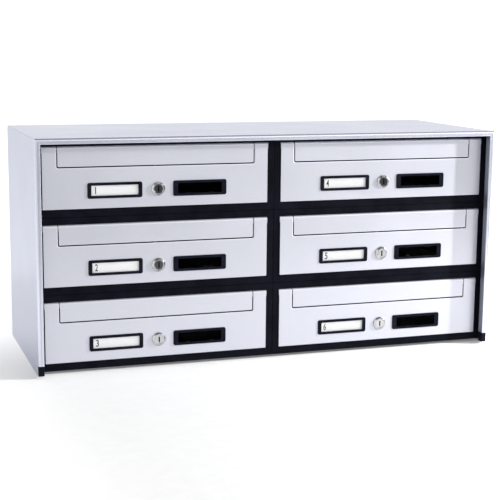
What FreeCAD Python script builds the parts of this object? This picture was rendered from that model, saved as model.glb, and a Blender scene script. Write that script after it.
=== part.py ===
import FreeCAD, Part
import math
import os

# Cluster mailbox unit: six letter boxes in two columns of three.
# Millimetres. The origin is at the middle of the base. +Z is up, and the doors face -Y.

# Whole unit
WIDTH = 777.0
DEPTH = 300.0
HEIGHT = 370.0
FRONT_Y = -DEPTH / 2
BACK_Y = DEPTH / 2
COLUMNS = 2
ROWS = 3

# Cutting shapes run past the faces that they cut by this much
OVERCUT = 1.0

# Surround: one extruded profile, mitred at the two top corners
SKIN = 1.4
SKIN_OUTSIDE = 1.0
BEAD_WIDTH = 9.1
BEAD_DEPTH = 13.4
BEAD_WALL = 1.8
BEAD_FLAT = 4.2
BEAD_NEAR = SKIN_OUTSIDE + SKIN
BEAD_OUTER_RADIUS = 3.8
BEAD_INNER_RADIUS = 1.0
GROOVE_AT = 5.0
GROOVE_WIDTH = 0.9
GROOVE_DEPTH = 0.5
SKIN_EDGE_RADIUS = 0.4
MITRE_REACH = 20.0
MITRE_NOTCH_RADIUS = 0.7
PLUG_GAP = 0.1

# End caps that close the side beads, just clear of the base
CAP_BASE_Z = 2.6
CAP_TOP_Z = 19.8
CAP_PLUG_HEIGHT = 16.0
CAP_FOOT_RADIUS = BEAD_DEPTH / 2 - 0.05
CAP_SIDE_RADIUS = 3.0
CRIMP_SETBACK = 38.6
CRIMP_HEIGHT = 8.0
CRIMP_WIDTH = 1.2
CRIMP_LENGTH = 4.5
CRIMP_DEPTH = 0.5

# Trays
COLUMN_PITCH = 385.8
ROW_PITCH = 121.0
TRAY_BASE_Z = 4.6
TRAY_GAP = 0.3
TRAY_WIDTH = COLUMN_PITCH - TRAY_GAP
TRAY_HEIGHT = ROW_PITCH - TRAY_GAP
TRAY_WALL = 2.5
RIM_THICKNESS = 3.0
RIM_EDGE_RADIUS = 0.8
OPENING_RADIUS = 1.0
LIP_WALL = 2.0
LIP_DEPTH = 14.0
WALL_HOLE_RADIUS = 3.0
WALL_HOLE_SPACING_X = 280.0
WALL_HOLE_LOW_Z = 30.0
WALL_HOLE_HIGH_Z = 92.0

# Doors: the door plate stands just ahead of the tray rim
DOOR_SETBACK = 21.6
DOOR_FRONT_Y = FRONT_Y + DOOR_SETBACK
RIM_FRONT_Y = DOOR_FRONT_Y + 1.0
DOOR_WIDTH = 362.4
DOOR_HEIGHT = 97.1
DOOR_ABOVE_TRAY_BASE = 12.4
PLATE = 2.0
DOOR_FLANGE_DEPTH = 7.0
PLATE_EDGE_RADIUS = 1.2
FLANGE_ROOT_RADIUS = 0.8
FLANGE_TIP_RADIUS = 0.6
DOOR_CORNER_RADIUS = 1.5
GAP_SIDE = 0.9
GAP_TOP = 1.0
STRIP_OVERHANG = 0.6

# Hinge: a steel rod through the barrels of the door and the flap
BARREL = 10.0
BARREL_FRONT_RADIUS = 3.5
BARREL_BACK_RADIUS = 4.0
BARREL_ROOT_RADIUS = 1.0
BARREL_END_RADIUS = 0.5
ROD_RADIUS = 2.0
BARREL_CLEARANCE = 0.05
BOSS_CLEARANCE = 0.02
AXIS_DEPTH = BARREL / 2
AXIS_BELOW_DOOR_TOP = BARREL / 2
BOSS_DEPTH = 12.4
BOSS_HALF_HEIGHT = 6.0
ROD_INTO_BOSS = 6.0

# Mail flap in the notch of the door
NOTCH_WIDTH = 318.2
NOTCH_BOTTOM = 63.5
NOTCH_RADIUS = 3.0
ROLL_WIDTH = 1.2
ROLL_DEPTH = 0.35
FLAP_GAP = 1.8
FLAP_STRIP_GAP = 1.4
FLAP_FLANGE_DEPTH = 5.0
FLAP_CORNER_RADIUS = 2.0

# Card frame and window frame on the lower half of the door
CARD_X = -68.9
WINDOW_X = 68.0
FRAMES_Z = 27.9
CARD_FRAME = (86.4, 24.5)
CARD_OPENING = (74.6, 15.9)
WINDOW_FRAME = (87.5, 24.4)
WINDOW_OPENING = (72.0, 16.4)
FRAME_RADIUS = 3.0
FRAME_PROUD = 1.6
FRAME_EDGE_RADIUS = 0.5
FRAME_BODY = (80.6, 20.2)
FRAME_BODY_RADIUS = 1.3
FRAME_BODY_DEPTH = 4.5
FRAME_HOLE_GAP = 0.2
POCKET = (78.0, 17.6)
POCKET_RADIUS = 0.8
PANE_GAP = 0.2
CARD_GAP = 0.1
CARD_MARGIN = 0.6
CARD_CORNER_RADIUS = 0.5
PANE_THICKNESS = 0.8
CARD_THICKNESS = 0.4
TAB_SETBACK = 1.4
TAB_LENGTH = 8.0
TAB_REACH = 1.6
TAB_THICKNESS = 1.0

# Cam lock
LOCK_Z = 28.0
LOCK_HEAD_RADIUS = 11.15
LOCK_HEAD_HEIGHT = 3.6
LOCK_HEAD_CHAMFER = 0.5
LOCK_HEAD_FACE = 1.7
LOCK_BODY_RADIUS = 9.3
LOCK_BODY_LENGTH = 15.8
LOCK_FLATS = 16.0
LOCK_HOLE_GAP = 0.1
PLUG_RADIUS = 7.0
PLUG_CLEARANCE = 0.05
PLUG_RECESS = 0.5
KEYWAY_WIDTH = 2.2
KEYWAY_HEIGHT = 9.4
KEYWAY_DEPTH = 7.0
KEYWAY_RADIUS = 0.6
LOCK_NUT_ACROSS = 24.0
LOCK_NUT_HEIGHT = 4.0
POST_WIDTH = 6.0
POST_GAP = 0.1
CAM_LENGTH = 34.0
CAM_WIDTH = 14.0
CAM_THICKNESS = 2.3
CAM_SETBACK = 0.4
CAM_END_FLAT = 0.5
CAM_SCREW_RADIUS = 1.7
CAM_SCREW_HEAD_RADIUS = 4.5
CAM_SCREW_HEAD_HEIGHT = 2.0
CAM_SCREW_LENGTH = 8.0
CAM_SCREW_TIP_GAP = 0.5

# Fixings
BOLT_RADIUS = 2.5
BOLT_HEAD_RADIUS = 4.5
BOLT_HEAD_HEIGHT = 2.8
BOLT_HOLE_GAP = 0.1
BOLT_NUT_ACROSS = 8.0
BOLT_NUT_HEIGHT = 4.0
BOLT_TAIL = 0.8
SCREW_RADIUS = 2.0
SCREW_BITE = 1.1
BOLT_Y = (-60.0, 90.0)
ROW_BOLT_X = 120.0
KEY_LEG = 45.0

X = FreeCAD.Vector(1, 0, 0)
Y = FreeCAD.Vector(0, 1, 0)
Z = FreeCAD.Vector(0, 0, 1)


def box(x0, x1, y0, y1, z0, z1):
    """Box between two corners."""
    return Part.makeBox(x1 - x0, y1 - y0, z1 - z0, FreeCAD.Vector(x0, y0, z0))


def rod(radius, start, axis, length):
    """Cylinder from a start point along an axis."""
    return Part.makeCylinder(radius, length, FreeCAD.Vector(*start), axis)


def fuse_all(shapes):
    """One solid from touching pieces, with the seams between them removed."""
    first = shapes[0]
    return first.fuse(shapes[1:]).removeSplitter()


def outline_face(corners, place):
    """Face inside a closed outline of (u, v, corner radius), put in space by place(u, v)."""
    edges = []
    tangents = []
    count = len(corners)
    for i in range(count):
        u, v, radius = corners[i]
        before = corners[i - 1]
        after = corners[(i + 1) % count]
        back = FreeCAD.Vector(before[0] - u, before[1] - v, 0).normalize()
        ahead = FreeCAD.Vector(after[0] - u, after[1] - v, 0).normalize()
        corner = FreeCAD.Vector(u, v, 0)
        if radius == 0:
            tangents.append((corner, None, corner))
            continue
        half = back.getAngle(ahead) / 2
        reach = radius / math.tan(half)
        middle = (back + ahead).normalize()
        centre = corner + middle * (radius / math.sin(half))
        crown = centre - middle * radius
        tangents.append((corner + back * reach, crown, corner + ahead * reach))
    for i in range(count):
        start, crown, end = tangents[i]
        following = tangents[(i + 1) % count][0]
        if crown is not None:
            points = [place(p.x, p.y) for p in (start, crown, end)]
            edges.append(Part.Arc(*points).toShape())
        if (following - end).Length > 1e-6:
            edges.append(Part.makeLine(place(end.x, end.y), place(following.x, following.y)))
    return Part.Face(Part.Wire(edges))


def bar_x(corners, x0, x1):
    """Outline of (y, z, radius) drawn out along X."""
    face = outline_face(corners, lambda y, z: FreeCAD.Vector(x0, y, z))
    return face.extrude(X * (x1 - x0))


def rounded_rectangle(width, height, radius, x, z, y):
    """Rounded rectangle centred on (x, z), in the plane at this y."""
    left, right = x - width / 2, x + width / 2
    low, high = z - height / 2, z + height / 2
    corners = [(left, low, radius), (right, low, radius), (right, high, radius), (left, high, radius)]
    return outline_face(corners, lambda u, v: FreeCAD.Vector(u, y, v))


def slab_y(width, height, radius, x, z, y0, y1):
    """Rounded rectangle centred on (x, z), drawn out along Y."""
    return rounded_rectangle(width, height, radius, x, z, y0).extrude(Y * (y1 - y0))


def round_front_edges(shape, y, radius):
    """Fillet the edges that lie in the plane at this y."""
    edges = []
    for edge in shape.Edges:
        bounds = edge.BoundBox
        if abs(bounds.YMin - y) < 1e-4 and abs(bounds.YMax - y) < 1e-4:
            edges.append(edge)
    return shape.makeFillet(radius, edges)


def hexagon(across, start, axis, length):
    """Hexagonal prism from a start point along X, Y or Z."""
    radius = across / math.sqrt(3)
    side = Z if axis != Z else X
    other = axis.cross(side)
    centre = FreeCAD.Vector(*start)
    corners = []
    for i in range(7):
        angle = math.radians(60 * i)
        spoke = side * math.cos(angle) + other * math.sin(angle)
        corners.append(centre + spoke * radius)
    return Part.Face(Part.makePolygon(corners)).extrude(axis * length)


def column_x(column):
    """X of a column's middle."""
    return (column - (COLUMNS - 1) / 2) * COLUMN_PITCH


def row_base_z(row):
    """Z of the underside of the trays in a row, counted from the top row."""
    return TRAY_BASE_Z + (ROWS - 1 - row) * ROW_PITCH


def box_number(column, row):
    """Boxes are numbered down each column, from the left column."""
    return column * ROWS + row + 1


# Surround

def surround_corners(direction):
    """Profile of (distance in from the outer face, y, radius), for either side of the unit."""
    skin_inside = SKIN_OUTSIDE + SKIN
    return [
        (direction * SKIN_OUTSIDE, BACK_Y, SKIN_EDGE_RADIUS),
        (direction * skin_inside, BACK_Y, SKIN_EDGE_RADIUS),
        (direction * skin_inside, FRONT_Y + BEAD_DEPTH, SKIN_EDGE_RADIUS),
        (direction * BEAD_WIDTH, FRONT_Y + BEAD_DEPTH, BEAD_INNER_RADIUS),
        (direction * BEAD_WIDTH, FRONT_Y, BEAD_INNER_RADIUS),
        (0, FRONT_Y, BEAD_OUTER_RADIUS),
        (0, FRONT_Y + BEAD_FLAT, 0),
        (direction * SKIN_OUTSIDE, FRONT_Y + BEAD_DEPTH, 0),
    ]


def bead_hollow_corners(direction):
    """Channel inside the bead, which takes the corner key and the end cap's plug."""
    near = BEAD_NEAR
    far = BEAD_WIDTH - BEAD_WALL
    front = FRONT_Y + BEAD_WALL
    back = FRONT_Y + BEAD_DEPTH - BEAD_WALL
    corners = [(near, back), (far, back), (far, front), (near, front)]
    return [(direction * u, y, 0) for u, y in corners]


def groove_corners(direction):
    """Fine line along the front of the bead."""
    near = GROOVE_AT - GROOVE_WIDTH / 2
    far = GROOVE_AT + GROOVE_WIDTH / 2
    middle = GROOVE_AT
    tip = FRONT_Y + GROOVE_DEPTH
    mouth = FRONT_Y - OVERCUT / 10
    return [(direction * near, mouth, 0), (direction * middle, tip, 0), (direction * far, mouth, 0)]


def surround_bar(direction, place, way):
    """The surround's profile, hollow and grooved, drawn out one way."""
    solid = outline_face(surround_corners(direction), place).extrude(way)
    hollow = outline_face(bead_hollow_corners(direction), place).extrude(way)
    groove = outline_face(groove_corners(direction), place).extrude(way)
    return solid.cut([hollow, groove])


def mitre_wedge(side, below):
    """Triangle on one side of the 45 degree mitre at a top corner, through the whole depth."""
    corner = FreeCAD.Vector(side * WIDTH / 2, FRONT_Y - OVERCUT, HEIGHT)
    outward = X * side
    outer = corner + (outward + Z) * OVERCUT
    inner = corner - (outward + Z) * MITRE_REACH
    if below:
        third = inner + outward * (MITRE_REACH + OVERCUT)
    else:
        third = inner + Z * (MITRE_REACH + OVERCUT)
    points = [outer, inner, third, outer]
    return Part.Face(Part.makePolygon(points)).extrude(Y * (DEPTH + 2 * OVERCUT))


def mitre_notch(side):
    """Fine hollow line along a mitred top corner, behind the bead."""
    corner_x = side * (WIDTH / 2 - SKIN_OUTSIDE)
    start = (corner_x, FRONT_Y + BEAD_DEPTH, HEIGHT - SKIN_OUTSIDE)
    return rod(MITRE_NOTCH_RADIUS, start, Y, DEPTH)


def surround_top():
    """Top profile, from corner to corner."""
    start_x = -WIDTH / 2

    def place(u, y):
        return FreeCAD.Vector(start_x, y, HEIGHT - u)

    bar = surround_bar(1, place, X * WIDTH)
    wedges = [mitre_wedge(-1, True), mitre_wedge(1, True)]
    return bar.cut(wedges + [mitre_notch(-1), mitre_notch(1)])


def surround_side(side):
    """Side profile. Its bead stops above the end cap, and its skin runs on down to the base."""
    def place(u, y):
        return FreeCAD.Vector(side * WIDTH / 2 + u, y, 0)

    bar = surround_bar(-side, place, Z * HEIGHT)
    outer = side * (WIDTH / 2 + OVERCUT)
    inner = side * (WIDTH / 2 - BEAD_WIDTH - OVERCUT)
    cap_room = box(min(outer, inner), max(outer, inner), FRONT_Y - OVERCUT, FRONT_Y + BEAD_DEPTH,
                   -OVERCUT, CAP_TOP_Z)
    crimp_y = FRONT_Y + CRIMP_SETBACK
    face = side * (WIDTH / 2 - SKIN_OUTSIDE)
    bottom = face - side * CRIMP_DEPTH
    crimp = box(min(face, bottom), max(face, bottom), crimp_y, crimp_y + CRIMP_WIDTH,
                CRIMP_HEIGHT, CRIMP_HEIGHT + CRIMP_LENGTH)
    screws = [screw_hole(*place_and_way) for place_and_way in side_screw_places(side)]
    return bar.cut([mitre_wedge(side, False), mitre_notch(side), cap_room, crimp] + screws)


def end_cap(side):
    """Cap with a half-round foot, and a plug that fits up into the bead."""
    def place(u, y):
        return FreeCAD.Vector(side * WIDTH / 2 + u, y, 0)

    back = FRONT_Y + BEAD_DEPTH
    foot_corners = [
        (FRONT_Y, CAP_BASE_Z, CAP_FOOT_RADIUS),
        (back, CAP_BASE_Z, CAP_FOOT_RADIUS),
        (back, CAP_TOP_Z, 0),
        (FRONT_Y, CAP_TOP_Z, 0),
    ]
    x0, x1 = sorted((side * WIDTH / 2, side * (WIDTH / 2 - BEAD_WIDTH)))
    foot = bar_x(foot_corners, x0, x1)
    side_corners = [
        (x0, CAP_BASE_Z, CAP_SIDE_RADIUS),
        (x1, CAP_BASE_Z, CAP_SIDE_RADIUS),
        (x1, CAP_TOP_Z, 0),
        (x0, CAP_TOP_Z, 0),
    ]
    rounded = outline_face(side_corners, lambda u, v: FreeCAD.Vector(u, FRONT_Y, v)).extrude(Y * BEAD_DEPTH)
    bead_corners = [
        (0, FRONT_Y + BEAD_FLAT, 0),
        (-side * SKIN_OUTSIDE, back, SKIN_EDGE_RADIUS),
        (-side * BEAD_WIDTH, back, BEAD_INNER_RADIUS),
        (-side * BEAD_WIDTH, FRONT_Y, BEAD_INNER_RADIUS),
        (0, FRONT_Y, BEAD_OUTER_RADIUS),
    ]
    column = outline_face(bead_corners, place).extrude(Z * CAP_TOP_Z)
    near = BEAD_NEAR + PLUG_GAP
    far = BEAD_WIDTH - BEAD_WALL - PLUG_GAP
    plug_x = sorted((side * (WIDTH / 2 - near), side * (WIDTH / 2 - far)))
    plug = box(plug_x[0], plug_x[1], FRONT_Y + BEAD_WALL + PLUG_GAP, back - BEAD_WALL - PLUG_GAP,
               CAP_TOP_Z - OVERCUT, CAP_TOP_Z + CAP_PLUG_HEIGHT)
    return fuse_all([foot.common(column).common(rounded), plug])


def corner_key(side):
    """L-shaped key that joins the hollow beads across a mitre."""
    near = BEAD_NEAR + PLUG_GAP
    far = BEAD_WIDTH - BEAD_WALL - PLUG_GAP
    y0 = FRONT_Y + BEAD_WALL + PLUG_GAP
    y1 = FRONT_Y + BEAD_DEPTH - BEAD_WALL - PLUG_GAP
    leg_x = sorted((side * (WIDTH / 2 - near), side * (WIDTH / 2 - KEY_LEG)))
    post_x = sorted((side * (WIDTH / 2 - near), side * (WIDTH / 2 - far)))
    leg = box(leg_x[0], leg_x[1], y0, y1, HEIGHT - far, HEIGHT - near)
    post = box(post_x[0], post_x[1], y0, y1, HEIGHT - KEY_LEG, HEIGHT - near)
    return fuse_all([leg, post])


# Trays

def opening_slab(grow, y0, y1):
    """Door opening of a tray, grown outward by a wall, centred on the tray's middle."""
    width = DOOR_WIDTH + 2 * GAP_SIDE
    low = DOOR_ABOVE_TRAY_BASE - GAP_SIDE
    high = DOOR_ABOVE_TRAY_BASE + DOOR_HEIGHT + GAP_TOP
    height = high - low + 2 * grow
    return slab_y(width + 2 * grow, height, OPENING_RADIUS + grow, 0, (low + high) / 2, y0, y1)


def hinge_boss(side):
    """Block in a tray's front corner that holds one end of the hinge rod."""
    x0 = side * (DOOR_WIDTH / 2 + GAP_SIDE)
    x1 = side * (TRAY_WIDTH / 2 - TRAY_WALL / 2)
    axis_z = DOOR_ABOVE_TRAY_BASE + DOOR_HEIGHT - AXIS_BELOW_DOOR_TOP
    return box(min(x0, x1), max(x0, x1), RIM_FRONT_Y + RIM_THICKNESS / 2, RIM_FRONT_Y + BOSS_DEPTH,
               axis_z - BOSS_HALF_HEIGHT, axis_z + BOSS_HALF_HEIGHT)


def tray():
    """Moulded tray: closed back, open front with a rim, a lip behind the rim and two hinge bosses."""
    half = TRAY_WIDTH / 2
    shell = box(-half, half, RIM_FRONT_Y, BACK_Y, 0, TRAY_HEIGHT)
    shell = round_front_edges(shell, RIM_FRONT_Y, RIM_EDGE_RADIUS)
    inside = box(-half + TRAY_WALL, half - TRAY_WALL, RIM_FRONT_Y + RIM_THICKNESS, BACK_Y - TRAY_WALL,
                 TRAY_WALL, TRAY_HEIGHT - TRAY_WALL)
    shell = shell.cut(inside)
    lip = opening_slab(LIP_WALL, RIM_FRONT_Y + RIM_THICKNESS / 2, RIM_FRONT_Y + LIP_DEPTH)
    body = fuse_all([shell, lip, hinge_boss(-1), hinge_boss(1)])
    body = body.cut(opening_slab(0, RIM_FRONT_Y - OVERCUT, RIM_FRONT_Y + LIP_DEPTH + OVERCUT))
    axis_z = DOOR_ABOVE_TRAY_BASE + DOOR_HEIGHT - AXIS_BELOW_DOOR_TOP
    reach = half - TRAY_WALL
    bore = rod(ROD_RADIUS + BOSS_CLEARANCE, (-reach, DOOR_FRONT_Y + AXIS_DEPTH, axis_z), X, 2 * reach)
    cuts = [bore]
    for x in (-WALL_HOLE_SPACING_X / 2, WALL_HOLE_SPACING_X / 2):
        for z in (WALL_HOLE_LOW_Z, WALL_HOLE_HIGH_Z):
            start = (x, BACK_Y - TRAY_WALL - OVERCUT, z)
            cuts.append(rod(WALL_HOLE_RADIUS, start, Y, TRAY_WALL + 2 * OVERCUT))
    return body.cut(cuts)


def drilled_tray(column, row):
    """Tray in its place, with the holes for the fixings that pass through its walls."""
    body = tray()
    body.translate(FreeCAD.Vector(column_x(column), 0, row_base_z(row)))
    holes = []
    for start, way, length in bolt_places():
        holes.append(rod(BOLT_RADIUS + BOLT_HOLE_GAP, start, way, length))
    for side in (-1, 1):
        for start, way in side_screw_places(side):
            holes.append(rod(SCREW_RADIUS + BOLT_HOLE_GAP, start, way, TRAY_WALL))
    return body.cut(holes)


# Fixings

def bolt_places():
    """(start, way, grip) of each bolt that joins two neighbouring trays."""
    places = []
    grip = 2 * TRAY_WALL + TRAY_GAP
    for row in range(ROWS):
        middle_z = row_base_z(row) + TRAY_HEIGHT / 2
        for y in BOLT_Y:
            places.append(((-grip / 2, y, middle_z), X, grip))
    for row in range(1, ROWS):
        floor_z = row_base_z(row) + TRAY_HEIGHT - TRAY_WALL
        for column in range(COLUMNS):
            for offset in (-ROW_BOLT_X, ROW_BOLT_X):
                places.append(((column_x(column) + offset, sum(BOLT_Y) / 2, floor_z), Z, grip))
    return places


def side_screw_places(side):
    """(start, way) of each screw from inside an outer tray into the side profile."""
    places = []
    wall_x = side * (COLUMN_PITCH / 2 + TRAY_WIDTH / 2 - TRAY_WALL)
    for row in range(ROWS):
        middle_z = row_base_z(row) + TRAY_HEIGHT / 2
        for y in BOLT_Y:
            places.append(((wall_x, y, middle_z), X * side))
    return places


def side_screw_reach():
    """Length of a side screw: tray wall, air gap, and its bite in the skin."""
    tray_outside = COLUMN_PITCH / 2 + TRAY_WIDTH / 2
    return TRAY_WALL + (WIDTH / 2 - BEAD_NEAR - tray_outside) + SCREW_BITE


def screw_hole(start, way):
    """Blind hole for a side screw. It never breaks the outer face."""
    return rod(SCREW_RADIUS + BOSS_CLEARANCE, start, way, side_screw_reach() + BOSS_CLEARANCE)


def headed_shank(start, way, radius, length):
    """Shank with a rounded head behind its start."""
    crown = FreeCAD.Vector(*start) - way * BOLT_HEAD_HEIGHT
    head = rod(BOLT_HEAD_RADIUS, tuple(crown), way, BOLT_HEAD_HEIGHT)
    crown_edge = min(head.Edges, key=lambda edge: (edge.CenterOfMass - crown).Length)
    head = head.makeFillet(BOLT_HEAD_HEIGHT / 3, [crown_edge])
    return fuse_all([head, rod(radius, start, way, length)])


def fixings():
    """Corner keys, tray bolts with their nuts, and the side screws."""
    solids = [corner_key(-1), corner_key(1)]
    for start, way, grip in bolt_places():
        shank = grip + BOLT_NUT_HEIGHT + BOLT_TAIL
        solids.append(headed_shank(start, way, BOLT_RADIUS, shank))
        nut_start = tuple(FreeCAD.Vector(*start) + way * grip)
        nut = hexagon(BOLT_NUT_ACROSS, nut_start, way, BOLT_NUT_HEIGHT)
        solids.append(nut.cut(rod(BOLT_RADIUS + BOSS_CLEARANCE, nut_start, way, BOLT_NUT_HEIGHT)))
    for side in (-1, 1):
        for start, way in side_screw_places(side):
            solids.append(headed_shank(start, way, SCREW_RADIUS, side_screw_reach()))
    return Part.makeCompound(solids)


def hinge_rods():
    """One rod for each box, held in the tray's two bosses."""
    rods = []
    half = DOOR_WIDTH / 2 + GAP_SIDE + ROD_INTO_BOSS
    for column in range(COLUMNS):
        for row in range(ROWS):
            door_top = row_base_z(row) + DOOR_ABOVE_TRAY_BASE + DOOR_HEIGHT
            start = (column_x(column) - half, DOOR_FRONT_Y + AXIS_DEPTH, door_top - AXIS_BELOW_DOOR_TOP)
            rods.append(rod(ROD_RADIUS, start, X, 2 * half))
    return Part.makeCompound(rods)


# Door, flap and trim. Each is drawn with x = 0 at the door's middle,
# y = 0 at the door's front face and z = 0 at the door's bottom edge.

def leaf_corners(bottom, flange_depth):
    """Profile of a hinged leaf: barrel at the top, plate, and a flange along the bottom."""
    top = DOOR_HEIGHT
    under_barrel = DOOR_HEIGHT - BARREL
    return [
        (0, bottom, PLATE_EDGE_RADIUS),
        (0, top, BARREL_FRONT_RADIUS),
        (BARREL, top, BARREL_BACK_RADIUS),
        (BARREL, under_barrel, BARREL_BACK_RADIUS),
        (PLATE, under_barrel, BARREL_ROOT_RADIUS),
        (PLATE, bottom + PLATE, FLANGE_ROOT_RADIUS),
        (flange_depth, bottom + PLATE, FLANGE_TIP_RADIUS),
        (flange_depth, bottom, FLANGE_TIP_RADIUS),
    ]


def barrel_corners():
    """Profile of the barrel alone."""
    top = DOOR_HEIGHT
    under = DOOR_HEIGHT - BARREL
    return [
        (0, under, BARREL_END_RADIUS),
        (0, top, BARREL_FRONT_RADIUS),
        (BARREL, top, BARREL_BACK_RADIUS),
        (BARREL, under, BARREL_BACK_RADIUS),
    ]


def hinged_leaf(width, barrel_width, bottom, flange_depth, corner_radius):
    """Leaf with rounded lower corners, a barrel a little longer than the plate, and a rod bore."""
    half = width / 2
    leaf = bar_x(leaf_corners(bottom, flange_depth), -half, half)
    height = 2 * (DOOR_HEIGHT - bottom)
    middle_z = bottom + height / 2
    rounded = slab_y(width, height, corner_radius, 0, middle_z, -OVERCUT, BARREL + OVERCUT)
    barrel = bar_x(barrel_corners(), -barrel_width / 2, barrel_width / 2)
    solid = fuse_all([leaf.common(rounded), barrel])
    axis_z = DOOR_HEIGHT - AXIS_BELOW_DOOR_TOP
    bore = rod(ROD_RADIUS + BARREL_CLEARANCE, (-barrel_width, AXIS_DEPTH, axis_z), X, 2 * barrel_width)
    return solid.cut(bore)


def notch_roll(height, z):
    """Cutter for the shallow slope that punching leaves round the front edge of the notch."""
    wires = []
    for y, grow in ((-ROLL_DEPTH, 2 * ROLL_WIDTH), (2 * ROLL_DEPTH, -ROLL_WIDTH)):
        section = rounded_rectangle(NOTCH_WIDTH + 2 * grow, height + 2 * grow, NOTCH_RADIUS + grow, 0, z, y)
        wires.append(section.OuterWire)
    return Part.makeLoft(wires, True, True)


def door():
    """Door with the flap's notch, and the holes for the lock, the card frame and the window frame."""
    barrel_width = DOOR_WIDTH + 2 * STRIP_OVERHANG
    leaf = hinged_leaf(DOOR_WIDTH, barrel_width, 0, DOOR_FLANGE_DEPTH, DOOR_CORNER_RADIUS)
    notch_height = 2 * (DOOR_HEIGHT - NOTCH_BOTTOM)
    notch_z = NOTCH_BOTTOM + notch_height / 2
    notch = slab_y(NOTCH_WIDTH, notch_height, NOTCH_RADIUS, 0, notch_z, -OVERCUT, BARREL + OVERCUT)
    cuts = [notch, notch_roll(notch_height, notch_z)]
    for x in (CARD_X, WINDOW_X):
        cuts.append(slab_y(FRAME_BODY[0] + FRAME_HOLE_GAP, FRAME_BODY[1] + FRAME_HOLE_GAP,
                           FRAME_BODY_RADIUS, x, FRAMES_Z, -OVERCUT, PLATE + OVERCUT))
    round_hole = rod(LOCK_BODY_RADIUS + LOCK_HOLE_GAP, (0, -OVERCUT, LOCK_Z), Y, PLATE + 2 * OVERCUT)
    flats = LOCK_FLATS / 2 + LOCK_HOLE_GAP
    cuts.append(round_hole.common(box(-flats, flats, -OVERCUT, PLATE + OVERCUT, 0, 2 * LOCK_Z)))
    return leaf.cut(cuts)


def flap():
    """Mail flap that fills the door's notch."""
    width = NOTCH_WIDTH - 2 * FLAP_GAP
    barrel_width = NOTCH_WIDTH - 2 * FLAP_STRIP_GAP
    return hinged_leaf(width, barrel_width, NOTCH_BOTTOM + FLAP_GAP, FLAP_FLANGE_DEPTH, FLAP_CORNER_RADIUS)


def trim_frame(x, outer, opening):
    """Frame that clips into the door: a flange in front, and a pocket behind for the clear cover."""
    flange = slab_y(outer[0], outer[1], FRAME_RADIUS, x, FRAMES_Z, -FRAME_PROUD, 0)
    flange = round_front_edges(flange, -FRAME_PROUD, FRAME_EDGE_RADIUS)
    body = slab_y(FRAME_BODY[0], FRAME_BODY[1], FRAME_BODY_RADIUS, x, FRAMES_Z,
                  -FRAME_PROUD / 2, FRAME_BODY_DEPTH)
    frame = fuse_all([flange, body])
    window = slab_y(opening[0], opening[1], POCKET_RADIUS, x, FRAMES_Z, -FRAME_PROUD - OVERCUT, OVERCUT)
    pocket = slab_y(POCKET[0], POCKET[1], POCKET_RADIUS, x, FRAMES_Z, 0, FRAME_BODY_DEPTH + OVERCUT)
    frame = frame.cut([window, pocket])
    return fuse_all([frame] + pocket_tabs(x))


def pocket_tabs(x):
    """Small tabs on the long walls of a pocket that hold the cover and the card in place."""
    tabs = []
    root = (FRAME_BODY[1] + POCKET[1]) / 4
    tip = POCKET[1] / 2 - TAB_REACH
    for end in (-1, 1):
        ends = sorted((FRAMES_Z + end * root, FRAMES_Z + end * tip))
        for middle in (x - POCKET[0] / 4, x + POCKET[0] / 4):
            tabs.append(box(middle - TAB_LENGTH / 2, middle + TAB_LENGTH / 2,
                            TAB_SETBACK, TAB_SETBACK + TAB_THICKNESS, ends[0], ends[1]))
    return tabs


def bezels():
    """Card frame and window frame."""
    card_frame = trim_frame(CARD_X, CARD_FRAME, CARD_OPENING)
    window_frame = trim_frame(WINDOW_X, WINDOW_FRAME, WINDOW_OPENING)
    return Part.makeCompound([card_frame, window_frame])


def panes():
    """Clear covers that lie in the pockets of both frames."""
    width = POCKET[0] - PANE_GAP
    height = POCKET[1] - PANE_GAP
    covers = []
    for x in (CARD_X, WINDOW_X):
        covers.append(slab_y(width, height, POCKET_RADIUS, x, FRAMES_Z, 0, PANE_THICKNESS))
    return Part.makeCompound(covers)


def name_card():
    """Paper card behind the clear cover."""
    card_y = PANE_THICKNESS + CARD_GAP
    width = POCKET[0] - CARD_MARGIN
    height = POCKET[1] - CARD_MARGIN
    return slab_y(width, height, CARD_CORNER_RADIUS, CARD_X, FRAMES_Z, card_y, card_y + CARD_THICKNESS)


# Cam lock

def turned(profile):
    """Solid of revolution about the lock's axis, from (radius, y) points."""
    points = [FreeCAD.Vector(r, y, LOCK_Z) for r, y in profile]
    face = Part.Face(Part.makePolygon(points + [points[0]]))
    return face.revolve(FreeCAD.Vector(0, 0, LOCK_Z), Y, 360)


def lock_barrel():
    """Barrel with a domed head and two flats, and the nut that clamps it to the door."""
    bore = PLUG_RADIUS + PLUG_CLEARANCE
    head = LOCK_HEAD_HEIGHT
    rim = LOCK_HEAD_RADIUS
    barrel = turned([
        (bore, -head + LOCK_HEAD_CHAMFER),
        (bore + LOCK_HEAD_CHAMFER, -head),
        (bore + LOCK_HEAD_FACE, -head),
        (rim - LOCK_HEAD_CHAMFER, -head / 2),
        (rim, -head / 4),
        (rim, 0),
        (LOCK_BODY_RADIUS, 0),
        (LOCK_BODY_RADIUS, LOCK_BODY_LENGTH),
        (bore, LOCK_BODY_LENGTH),
    ])
    flats = LOCK_FLATS / 2
    head_room = box(-rim, rim, -head - OVERCUT, 0, LOCK_Z - rim, LOCK_Z + rim)
    body_room = box(-flats, flats, 0, LOCK_BODY_LENGTH + OVERCUT, LOCK_Z - rim, LOCK_Z + rim)
    barrel = barrel.common(head_room.fuse(body_room))
    nut = hexagon(LOCK_NUT_ACROSS, (0, PLATE, LOCK_Z), Y, LOCK_NUT_HEIGHT)
    nut_hole = rod(LOCK_BODY_RADIUS + LOCK_HOLE_GAP, (0, 0, LOCK_Z), Y, LOCK_BODY_LENGTH)
    nut = nut.cut(nut_hole)
    return Part.makeCompound([barrel, nut])


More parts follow.
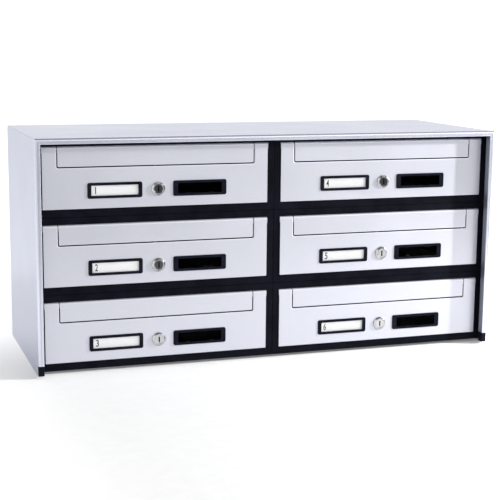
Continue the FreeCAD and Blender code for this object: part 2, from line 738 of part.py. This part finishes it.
def cam_front_y():
    """Y of the cam's face towards the door."""
    return LOCK_BODY_LENGTH + CAM_SETBACK


def lock_plug():
    """Plug with an upright keyway, and a square post for the cam."""
    front = -LOCK_HEAD_HEIGHT + PLUG_RECESS
    shoulder = cam_front_y()
    cylinder = rod(PLUG_RADIUS, (0, front, LOCK_Z), Y, shoulder - front)
    half = POST_WIDTH / 2
    end = shoulder + CAM_THICKNESS
    post = box(-half, half, shoulder - OVERCUT, end, LOCK_Z - half, LOCK_Z + half)
    keyway = slab_y(KEYWAY_WIDTH, KEYWAY_HEIGHT, KEYWAY_RADIUS, 0, LOCK_Z,
                    front - OVERCUT, front + KEYWAY_DEPTH)
    thread = rod(CAM_SCREW_RADIUS + BOSS_CLEARANCE, (0, end - CAM_SCREW_LENGTH, LOCK_Z), Y,
                 CAM_SCREW_LENGTH + OVERCUT)
    return fuse_all([cylinder, post]).cut([keyway, thread])


def lock_cam():
    """Cam that points up when the lock is open, and the screw that holds it on the plug."""
    y0 = cam_front_y()
    y1 = y0 + CAM_THICKNESS
    half = CAM_WIDTH / 2
    length = CAM_LENGTH + half
    plate = slab_y(CAM_WIDTH, length, half - CAM_END_FLAT, 0, LOCK_Z - half + length / 2, y0, y1)
    hole = POST_WIDTH / 2 + POST_GAP
    plate = plate.cut(box(-hole, hole, y0 - OVERCUT, y1 + OVERCUT, LOCK_Z - hole, LOCK_Z + hole))
    head = rod(CAM_SCREW_HEAD_RADIUS, (0, y1, LOCK_Z), Y, CAM_SCREW_HEAD_HEIGHT)
    shank_start = y1 - CAM_SCREW_LENGTH + CAM_SCREW_TIP_GAP
    shank = rod(CAM_SCREW_RADIUS, (0, shank_start, LOCK_Z), Y, y1 - shank_start)
    return Part.makeCompound([plate, fuse_all([head, shank])])


def on_door(shape, column, row):
    """Put a shape drawn for the door into one box of the unit."""
    door_bottom = row_base_z(row) + DOOR_ABOVE_TRAY_BASE
    placed = shape.copy()
    placed.translate(FreeCAD.Vector(column_x(column), DOOR_FRONT_Y, door_bottom))
    return placed


def save(shape, node):
    """Write one node, after checking that it is sound."""
    if not shape.isValid():
        raise ValueError(node + " is not a valid shape")
    shape.exportStep("parts/" + node + ".step")


def main():
    os.makedirs("parts", exist_ok=True)
    save(surround_top(), "surround_top")
    save(surround_side(-1), "surround_left")
    save(surround_side(1), "surround_right")
    save(Part.makeCompound([end_cap(-1), end_cap(1)]), "end_caps")
    save(hinge_rods(), "hinge_rods")
    save(fixings(), "fixings")
    door_pieces = {
        "door": door(),
        "flap": flap(),
        "bezels": bezels(),
        "panes": panes(),
        "name_card": name_card(),
        "lock_barrel": lock_barrel(),
        "lock_plug": lock_plug(),
        "lock_cam": lock_cam(),
    }
    for column in range(COLUMNS):
        for row in range(ROWS):
            number = box_number(column, row)
            save(drilled_tray(column, row), "tray_%d" % number)
            for name, shape in door_pieces.items():
                save(on_door(shape, column, row), "%s_%d" % (name, number))


main()
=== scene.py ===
import math

import bmesh
import bpy
from mathutils import Matrix, Vector


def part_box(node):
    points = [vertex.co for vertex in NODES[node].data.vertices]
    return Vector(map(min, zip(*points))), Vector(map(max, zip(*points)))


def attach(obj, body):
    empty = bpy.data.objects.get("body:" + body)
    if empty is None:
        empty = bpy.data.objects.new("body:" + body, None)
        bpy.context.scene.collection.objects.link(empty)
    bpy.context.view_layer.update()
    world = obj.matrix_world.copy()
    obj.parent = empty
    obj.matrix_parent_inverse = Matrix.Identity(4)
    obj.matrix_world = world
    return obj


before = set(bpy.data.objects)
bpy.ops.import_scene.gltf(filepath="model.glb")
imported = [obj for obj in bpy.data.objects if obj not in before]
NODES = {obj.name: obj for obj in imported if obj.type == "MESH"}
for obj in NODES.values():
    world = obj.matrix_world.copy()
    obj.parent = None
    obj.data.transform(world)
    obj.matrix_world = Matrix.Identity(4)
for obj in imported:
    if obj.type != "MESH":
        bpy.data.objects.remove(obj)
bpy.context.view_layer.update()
BOXES = range(1, 7)
WHITE = (1.0, 1.0, 1.0)


# Camera, from the middle of the unit's base, in metres and degrees

CAMERA_AT = (-0.66745, -1.96595, 0.52111)
CAMERA_AZIMUTH = 18.849
CAMERA_ELEVATION = -9.901
CAMERA_ROLL = 0.533
CAMERA_SEES_TO = 60.0
LENS_MM = 87.6
SENSOR_MM = 36.0


def aim(azimuth, elevation, roll):
    """Camera axes for a view that looks along +Y at azimuth 0 and turns towards +X."""
    az = math.radians(azimuth)
    el = math.radians(elevation)
    ro = math.radians(roll)
    ahead = Vector((math.sin(az) * math.cos(el), math.cos(az) * math.cos(el), math.sin(el)))
    level = ahead.cross(Vector((0, 0, 1))).normalized()
    above = level.cross(ahead)
    right = level * math.cos(ro) + above * math.sin(ro)
    up = above * math.cos(ro) - level * math.sin(ro)
    return Matrix((right, up, -ahead)).transposed()


def make_camera():
    data = bpy.data.cameras.new("camera")
    data.lens = LENS_MM
    data.sensor_width = SENSOR_MM
    data.clip_end = CAMERA_SEES_TO
    axes = aim(CAMERA_AZIMUTH, CAMERA_ELEVATION, CAMERA_ROLL)
    camera = bpy.data.objects.new("camera", data)
    camera.matrix_world = Matrix.Translation(CAMERA_AT) @ axes.to_4x4()
    bpy.context.scene.collection.objects.link(camera)
    bpy.context.scene.camera = camera


# Materials: colours are linear, and grain sizes and bump distances are in metres

NOISE_EDGES = (0.3, 0.7)
WIDER_EDGES = (0.25, 0.75)
ALONG_X = (0.02, 1.0, 1.0)
ALONG_Y = (1.0, 0.02, 1.0)
TRAY_BLACK = (0.0035, 0.004, 0.0075)
TRAY_ROUGHNESS = 0.42
ALUMINIUM_GLOSS_SPREAD = 0.03
PLASTIC_GLOSS_SPREAD = (0.05, 0.08)
PLATED_GLOSS_FACTORS = (0.7, 1.3)

# Plugs of locks 1, 2 and 4 take a darker copy of the turned steel: painted dark reflection.
PLUGS_PAINTED_DARK = ("lock_plug_1", "lock_plug_2", "lock_plug_4")
KEYWAY_SKIN = 0.0002
KEYWAY_REACH = (0.0016, 0.0052)
BEAD_SIDES = ("surround_left", "surround_right")
DOOR_PLANE_Y = -0.128
FACES_INWARD = 0.9

FINISH_BY_PREFIX = {
    "surround": "surround", "door": "door", "flap": "door", "tray": "tray", "end_caps": "cap",
    "bezels": "cap", "panes": "clear", "name_card": "card", "lock_barrel": "barrel",
    "lock_plug": "bright_plug", "lock_cam": "zinc", "hinge_rods": "zinc", "fixings": "zinc",
}


class Nodes:
    """A material's node tree, with short calls for the nodes used here."""

    def __init__(self, name):
        self.material = bpy.data.materials.new(name)
        self.material.use_nodes = True
        self.tree = self.material.node_tree
        self.shader = self.tree.nodes["Principled BSDF"]

    def link(self, output, target):
        self.tree.links.new(output, target)

    def set(self, **values):
        """Constants on the shader's own sockets, by name with underscores for spaces."""
        for name, value in values.items():
            self.shader.inputs[name.replace("_", " ")].default_value = value

    def position(self, scale=(1, 1, 1)):
        """Object coordinates in metres, stretched by a scale."""
        coordinates = self.tree.nodes.new("ShaderNodeTexCoord")
        mapping = self.tree.nodes.new("ShaderNodeMapping")
        mapping.inputs["Scale"].default_value = scale
        self.link(coordinates.outputs["Object"], mapping.inputs["Vector"])
        return mapping.outputs["Vector"]

    def noise(self, size, detail, stretch=(1, 1, 1)):
        """Noise whose grains are about this many metres across."""
        noise = self.tree.nodes.new("ShaderNodeTexNoise")
        noise.inputs["Scale"].default_value = 1.0
        noise.inputs["Detail"].default_value = detail
        scale = tuple(part / size for part in stretch)
        self.link(self.position(scale), noise.inputs["Vector"])
        return noise.outputs["Fac"]

    def ramp(self, factor, low, high, edges=NOISE_EDGES):
        """One colour or grey value up to the first edge, another from the second, and a way between."""
        ramp = self.tree.nodes.new("ShaderNodeValToRGB")
        for element, place, value in zip(ramp.color_ramp.elements, edges, (low, high)):
            colour = value if isinstance(value, tuple) else (value, value, value)
            element.position = place
            element.color = (*colour, 1.0)
        self.link(factor, ramp.inputs["Fac"])
        return ramp.outputs["Color"]

    def bump(self, height, distance, strength, under=None):
        """Bump from a height, over another bump if one is given."""
        bump = self.tree.nodes.new("ShaderNodeBump")
        bump.inputs["Distance"].default_value = distance
        bump.inputs["Strength"].default_value = strength
        self.link(height, bump.inputs["Height"])
        if under is not None:
            self.link(under, bump.inputs["Normal"])
        return bump.outputs["Normal"]

    def times(self, colour, level):
        """A colour made darker by a level from 0 to 1."""
        scale = self.tree.nodes.new("ShaderNodeVectorMath")
        scale.operation = "SCALE"
        self.link(colour, scale.inputs[0])
        self.link(level, scale.inputs["Scale"])
        return scale.outputs["Vector"]

    def finish(self, colour, roughness, normal=None):
        """The material, once its colour, roughness and bump reach the shader."""
        self.link(colour, self.shader.inputs["Base Color"])
        self.link(roughness, self.shader.inputs["Roughness"])
        if normal is not None:
            self.link(normal, self.shader.inputs["Normal"])
        return self.material


def tones(colour, spread):
    """Darker and lighter versions of a colour."""
    low = tuple(part * (1 - spread) for part in colour)
    high = tuple(min(1.0, part * (1 + spread)) for part in colour)
    return low, high


def aluminium(name, colour, metallic, roughness, edge_tint, grain_along):
    """Satin silver metal: fine speckle, faint drawing lines along the profile, soft gloss."""
    nodes = Nodes(name)
    nodes.set(Metallic=metallic, Specular_Tint=(*edge_tint, 1.0))
    speckle = nodes.noise(size=0.0009, detail=2.0)
    cloud = nodes.noise(size=0.12, detail=2.0)
    lines = nodes.noise(size=0.0016, detail=2.0, stretch=grain_along)
    base = nodes.ramp(speckle, *tones(colour, spread=0.035))
    gloss = nodes.ramp(cloud, roughness - ALUMINIUM_GLOSS_SPREAD, roughness + ALUMINIUM_GLOSS_SPREAD)
    normal = nodes.bump(lines, distance=0.00002, strength=0.12)
    normal = nodes.bump(speckle, distance=0.00003, strength=0.2, under=normal)
    return nodes.finish(base, gloss, normal)


def black_plastic(name, colour, roughness, ribbed=False):
    """Moulded black plastic: fine spark texture, and faint lines across the rim when ribbed."""
    nodes = Nodes(name)
    nodes.set(Metallic=0.0, Specular_IOR_Level=0.04)
    smoother, rougher = PLASTIC_GLOSS_SPREAD
    patches = nodes.noise(size=0.02, detail=4.0)
    texture = nodes.noise(size=0.0006, detail=2.0)
    base = nodes.ramp(patches, *tones(colour, spread=0.3))
    gloss = nodes.ramp(patches, roughness - smoother, roughness + rougher, WIDER_EDGES)
    normal = nodes.bump(texture, distance=0.00005, strength=0.4)
    if ribbed:
        lines = nodes.noise(size=0.0022, detail=1.0, stretch=(0.01, 0.2, 1.0))
        normal = nodes.bump(lines, distance=0.0004, strength=0.5, under=normal)
    return nodes.finish(base, gloss, normal)


def clear_plastic(name):
    """Clear acrylic with an anti-glare finish and a slightly uneven surface."""
    nodes = Nodes(name)
    nodes.set(Transmission_Weight=1.0, IOR=1.05)
    ripple = nodes.noise(size=0.006, detail=2.0)
    tint = nodes.ramp(ripple, low=(0.985, 0.99, 0.995), high=(0.995, 0.998, 1.0))
    gloss = nodes.ramp(ripple, low=0.01, high=0.03)
    return nodes.finish(tint, gloss, nodes.bump(ripple, distance=0.0001, strength=0.2))


def paper(name):
    """White card with faint fibres."""
    nodes = Nodes(name)
    nodes.set(Specular_IOR_Level=0.2)
    fibres = nodes.noise(size=0.0007, detail=5.0, stretch=(0.4, 1.0, 1.0))
    base = nodes.ramp(fibres, low=0.90, high=0.96)
    gloss = nodes.ramp(fibres, low=0.75, high=0.9)
    return nodes.finish(base, gloss, nodes.bump(fibres, distance=0.00004, strength=0.4))


def ink(name):
    """Nearly black printing ink with a slightly uneven lay-down."""
    nodes = Nodes(name)
    nodes.set(Specular_IOR_Level=0.2)
    grain = nodes.noise(size=0.0004, detail=3.0)
    base = nodes.ramp(grain, low=(0.02, 0.02, 0.022), high=(0.045, 0.045, 0.048))
    gloss = nodes.ramp(grain, low=0.6, high=0.8)
    return nodes.finish(base, gloss, nodes.bump(grain, distance=0.00002, strength=0.3))


def plated(name, colour, roughness, grain):
    """Bright metal: polished chrome, turned steel or zinc plating, by roughness and grain size."""
    nodes = Nodes(name)
    nodes.set(Metallic=1.0)
    smoother, rougher = PLATED_GLOSS_FACTORS
    patches = nodes.noise(size=grain, detail=4.0)
    base = nodes.ramp(patches, *tones(colour, spread=0.06))
    gloss = nodes.ramp(patches, roughness * smoother, roughness * rougher)
    return nodes.finish(base, gloss, nodes.bump(patches, distance=0.00005, strength=0.2))


def make_finishes():
    """Every material of the CAD nodes, by a short key."""
    return {
        "surround": aluminium("satin_aluminium_surround", colour=(0.68, 0.695, 0.79), metallic=0.85,
                              roughness=0.24, edge_tint=(0.66, 0.68, 0.72), grain_along=ALONG_Y),
        "door": aluminium("satin_aluminium_door", colour=(0.595, 0.607, 0.672), metallic=0.6,
                          roughness=0.32, edge_tint=WHITE, grain_along=ALONG_X),
        # Darker, rougher copy of the surround for the beads' inner faces: the darkness is painted
        # shade.
        "bead_inside": aluminium("mill_aluminium_painted_shade", colour=(0.26, 0.27, 0.32), metallic=0.85,
                                 roughness=0.45, edge_tint=WHITE, grain_along=ALONG_Y),
        "tray": black_plastic("moulded_black_tray", TRAY_BLACK, TRAY_ROUGHNESS, ribbed=True),
        "cap": black_plastic("moulded_black_cap", colour=(0.006, 0.007, 0.013), roughness=0.36),
        # Near-black keyway walls: painted shade for the dark inside of the key slot.
        "keyway": black_plastic("keyway_painted_shade_black", colour=(0.008, 0.008, 0.009), roughness=0.5),
        "clear": clear_plastic("clear_acrylic"),
        "card": paper("white_card"),
        "barrel": plated("polished_chrome", colour=(0.56, 0.56, 0.57), roughness=0.05, grain=0.003),
        # Darker copy of the bright turned steel: painted dark reflection for the plugs of locks 1, 2
        # and 4.
        "plug_painted_dark": plated("turned_steel_painted_dark_reflection", colour=(0.13, 0.13, 0.14), roughness=0.14,
                            grain=0.0012),
        "bright_plug": plated("bright_turned_steel", colour=(0.60, 0.60, 0.61), roughness=0.2,
                              grain=0.0012),
        "zinc": plated("zinc_plating", colour=(0.64, 0.65, 0.66), roughness=0.32, grain=0.003),
    }


def finish_of(node):
    """The key of a CAD node's material."""
    if node in PLUGS_PAINTED_DARK:
        return "plug_painted_dark"
    return next(key for prefix, key in FINISH_BY_PREFIX.items() if node.startswith(prefix))


def shade_keyway(thing, material):
    """Give the walls of a plug's keyway, behind its front face, their own near-black material: painted
    shade for the slot's dark inside.
    """
    thing.data.materials.append(material)
    points = [vertex.co for vertex in thing.data.vertices]
    front = min(point.y for point in points)
    middle = sum(points, Vector()) / len(points)
    for face in thing.data.polygons:
        behind = face.center.y > front + KEYWAY_SKIN
        near_x = abs(face.center.x - middle.x) < KEYWAY_REACH[0]
        near_z = abs(face.center.z - middle.z) < KEYWAY_REACH[1]
        if behind and near_x and near_z:
            face.material_index = 1


def shade_inner_faces(thing, material):
    """Give the faces of a side bead that look in over the doors their own darker, rougher material:
    painted shade on faces that sit in shadow and reflect the black rims.
    """
    thing.data.materials.append(material)
    is_right = sum(vertex.co.x for vertex in thing.data.vertices) > 0
    inward = -1 if is_right else 1
    for face in thing.data.polygons:
        if face.center.y < DOOR_PLANE_Y and face.normal.x * inward > FACES_INWARD:
            face.material_index = 1


def put_materials():
    """Give every CAD node its material."""
    finishes = make_finishes()
    for node, thing in NODES.items():
        thing.data.materials.clear()
        thing.data.materials.append(finishes[finish_of(node)])
        if node in BEAD_SIDES:
            shade_inner_faces(thing, finishes["bead_inside"])
        if node.startswith("lock_plug"):
            shade_keyway(thing, finishes["keyway"])


# Pieces with no CAD solid, in metres

DIGIT_HEIGHT = 0.0110
DIGIT_WIDTH = 0.0046
DIGIT_INSET = 0.0061
DIGIT_BOLDNESS = 0.01
NARROWEST_LETTERING = 0.36
INK_HALF_THICKNESS = 0.00003
INK_MIDDLE_AHEAD = 0.00002

HOLE_RADIUS = 0.0029
HOLE_SPACING_X = 0.28
HOLE_HEIGHTS = (0.030, 0.092)
WEB_THICKNESS = 0.0003
WEB_SETBACK = 0.0012
WEB_SEGMENTS = 24


def digit_mesh(number):
    """A number in Blender's own lettering, flat in X and Y."""
    curve = bpy.data.curves.new("digit_curve_%d" % number, "FONT")
    curve.body = str(number)
    curve.size = 1.0
    curve.extrude = INK_HALF_THICKNESS
    curve.offset = DIGIT_BOLDNESS
    lettering = bpy.data.objects.new("digit_source_%d" % number, curve)
    bpy.context.scene.collection.objects.link(lettering)
    bpy.context.view_layer.update()
    mesh = bpy.data.meshes.new_from_object(lettering)
    bpy.data.objects.remove(lettering)
    return mesh


def add_piece(name, mesh, material):
    """Add a mesh with one material to the scene, as a piece of its own."""
    mesh.materials.clear()
    mesh.materials.append(material)
    piece = bpy.data.objects.new(name, mesh)
    bpy.context.scene.collection.objects.link(piece)
    return piece


def card_digit(number, material):
    """Printed number near the left end of a name card, as thin raised ink."""
    low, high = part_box("name_card_%d" % number)
    mesh = digit_mesh(number)
    xs = [vertex.co.x for vertex in mesh.vertices]
    ys = [vertex.co.y for vertex in mesh.vertices]
    grow_x = DIGIT_WIDTH / max(max(xs) - min(xs), NARROWEST_LETTERING)
    grow_y = DIGIT_HEIGHT / (max(ys) - min(ys))
    letter_x = (max(xs) + min(xs)) / 2
    digit_x = low.x + DIGIT_INSET + DIGIT_WIDTH / 2
    digit_y = low.y - INK_MIDDLE_AHEAD
    digit_z = (low.z + high.z) / 2 - DIGIT_HEIGHT / 2
    for vertex in mesh.vertices:
        x = digit_x + (vertex.co.x - letter_x) * grow_x
        z = digit_z + (vertex.co.y - min(ys)) * grow_y
        vertex.co = (x, digit_y - vertex.co.z, z)
    piece = add_piece("card_digit_%d" % number, mesh, material)
    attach(piece, "door_body_%d" % number)


def hole_webs(number, material):
    """Thin webs that close the four wall screw holes of a tray, inside its back wall."""
    low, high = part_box("tray_%d" % number)
    middle_x = (low.x + high.x) / 2
    upright = Matrix.Rotation(math.radians(90), 4, "X")
    shape = bmesh.new()
    for x in (middle_x - HOLE_SPACING_X / 2, middle_x + HOLE_SPACING_X / 2):
        for height in HOLE_HEIGHTS:
            place = Matrix.Translation((x, high.y - WEB_SETBACK, low.z + height))
            bmesh.ops.create_cone(shape, cap_ends=True, segments=WEB_SEGMENTS, radius1=HOLE_RADIUS,
                                  radius2=HOLE_RADIUS, depth=WEB_THICKNESS, matrix=place @ upright)
    mesh = bpy.data.meshes.new("hole_webs_%d" % number)
    shape.to_mesh(mesh)
    shape.free()
    piece = add_piece("hole_webs_%d" % number, mesh, material)
    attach(piece, "frame")


def add_numbers_and_webs():
    """The printed numbers and the hole webs of all six boxes."""
    print_ink = ink("printing_ink")
    web_plastic = black_plastic("moulded_black_web", TRAY_BLACK, TRAY_ROUGHNESS)
    for number in BOXES:
        card_digit(number, print_ink)
        hole_webs(number, web_plastic)


# Stage. The room's edges are parts of a view direction, and the floor's are in metres

BACKDROP_FROM_Y = (-0.25, 0.1)
BACKDROP_SIDE_X = (-0.5, 0.1)
BACKDROP_LEVELS = (0.8, 1.22)
FRONT_SIDE_X = (0.02, 0.36)
FRONT_LEVELS = (0.84, 1.72)
LEFT_SIDE_X = (-0.5, -0.15)
LEFT_LEVEL = 1.25
CEILING_FROM_Z = (0.45, 0.88)
CEILING_LEVELS = (1.0, 0.2)

KEY_AT = (1.825, -0.73, 0.745)
KEY_TARGET = (0.1, -0.13, 0.2)
KEY_SIZE = 0.07
KEY_POWER = 62.0

FLOOR_HALF_SIZE = 14.0
FLOOR_SEGMENTS = 8
FLOOR_GLOW_BACK = 0.64
FLOOR_GLOW_FRONT = (0.62, 0.14)
FLOOR_SIDE_X = (-0.75, -0.3)
FLOOR_BACK_Y = (-0.15, 0.25)
FLOOR_DIM_Y = (-1.1, -0.72)
FLOOR_SHADES = (0.35, 1.0)


def eased(tree, value, edges, levels=(0.0, 1.0)):
    """The first level below the first edge, the second above the second, and a smooth way between."""
    step = tree.nodes.new("ShaderNodeMapRange")
    step.interpolation_type = "SMOOTHSTEP"
    for socket, number in zip(("From Min", "From Max", "To Min", "To Max"), (*edges, *levels)):
        step.inputs[socket].default_value = number
    tree.links.new(value, step.inputs["Value"])
    return step.outputs["Result"]


def blend(tree, factor, first, second):
    """The first where the factor is 0 and the second where it is 1. Each is an output or a number."""
    mix = tree.nodes.new("ShaderNodeMix")
    for socket, value in zip(("Factor", "A", "B"), (factor, first, second)):
        if isinstance(value, float):
            mix.inputs[socket].default_value = value
        else:
            tree.links.new(value, mix.inputs[socket])
    return mix.outputs["Result"]


def floor_material():
    """Pale floor with painted shade that darkens it near the camera, and a painted glow, least at the
    front right, that washes out the lamp's shadow.
    """
    nodes = Nodes("pale_floor")
    nodes.set(Specular_IOR_Level=0.0, Emission_Color=(*WHITE, 1.0))
    speckle = nodes.noise(size=0.02, detail=2.0)
    split = nodes.tree.nodes.new("ShaderNodeSeparateXYZ")
    nodes.link(nodes.position(), split.inputs["Vector"])
    along_x, along_y = split.outputs["X"], split.outputs["Y"]
    # Painted shade: the base colour darkens towards the camera's end.
    shade = eased(nodes.tree, along_y, FLOOR_DIM_Y, FLOOR_SHADES)
    # Painted glow: strongest at the left and behind, where the lamp's shadow falls.
    front = eased(nodes.tree, along_x, FLOOR_SIDE_X, FLOOR_GLOW_FRONT)
    glow = blend(nodes.tree, eased(nodes.tree, along_y, FLOOR_BACK_Y), front, FLOOR_GLOW_BACK)
    nodes.link(glow, nodes.shader.inputs["Emission Strength"])
    base = nodes.times(nodes.ramp(speckle, low=0.80, high=0.83), shade)
    return nodes.finish(base, nodes.ramp(speckle, low=0.85, high=0.95))


def make_floor():
    """Flat floor that reaches past the view."""
    mesh = bpy.data.meshes.new("floor")
    shape = bmesh.new()
    bmesh.ops.create_grid(shape, x_segments=FLOOR_SEGMENTS, y_segments=FLOOR_SEGMENTS,
                          size=FLOOR_HALF_SIZE)
    shape.to_mesh(mesh)
    shape.free()
    mesh.materials.append(floor_material())
    floor = bpy.data.objects.new("floor", mesh)
    bpy.context.scene.collection.objects.link(floor)


def make_studio():
    """White room with a dim ceiling and a backdrop that is brighter at the right.
    The wall behind the camera is bright at the left, dim in the middle and brightest at the right."""
    world = bpy.data.worlds.new("studio")
    world.use_nodes = True
    tree = world.node_tree
    coordinates = tree.nodes.new("ShaderNodeTexCoord")
    split = tree.nodes.new("ShaderNodeSeparateXYZ")
    tree.links.new(coordinates.outputs["Generated"], split.inputs["Vector"])
    along_x, along_y, along_z = (split.outputs[name] for name in "XYZ")
    front = eased(tree, along_x, FRONT_SIDE_X, FRONT_LEVELS)
    front = blend(tree, eased(tree, along_x, LEFT_SIDE_X), LEFT_LEVEL, front)
    back = eased(tree, along_x, BACKDROP_SIDE_X, BACKDROP_LEVELS)
    walls = blend(tree, eased(tree, along_y, BACKDROP_FROM_Y), front, back)
    level = tree.nodes.new("ShaderNodeMath")
    level.operation = "MULTIPLY"
    tree.links.new(walls, level.inputs[0])
    tree.links.new(eased(tree, along_z, CEILING_FROM_Z, CEILING_LEVELS), level.inputs[1])
    background = tree.nodes["Background"]
    background.inputs["Color"].default_value = (*WHITE, 1.0)
    tree.links.new(level.outputs["Value"], background.inputs["Strength"])
    bpy.context.scene.world = world


def make_key_light():
    """One small, near lamp at the front right."""
    data = bpy.data.lights.new("key_from_the_right", "AREA")
    data.shape = "SQUARE"
    data.size = KEY_SIZE
    data.energy = KEY_POWER
    light = bpy.data.objects.new("key_from_the_right", data)
    light.location = KEY_AT
    way = Vector(KEY_TARGET) - Vector(KEY_AT)
    light.rotation_euler = way.to_track_quat("-Z", "Y").to_euler()
    bpy.context.scene.collection.objects.link(light)


def set_tones():
    view = bpy.context.scene.view_settings
    view.view_transform = "Standard"
    view.look = "None"


make_camera()
put_materials()
add_numbers_and_webs()
make_floor()
make_studio()
make_key_light()
set_tones()
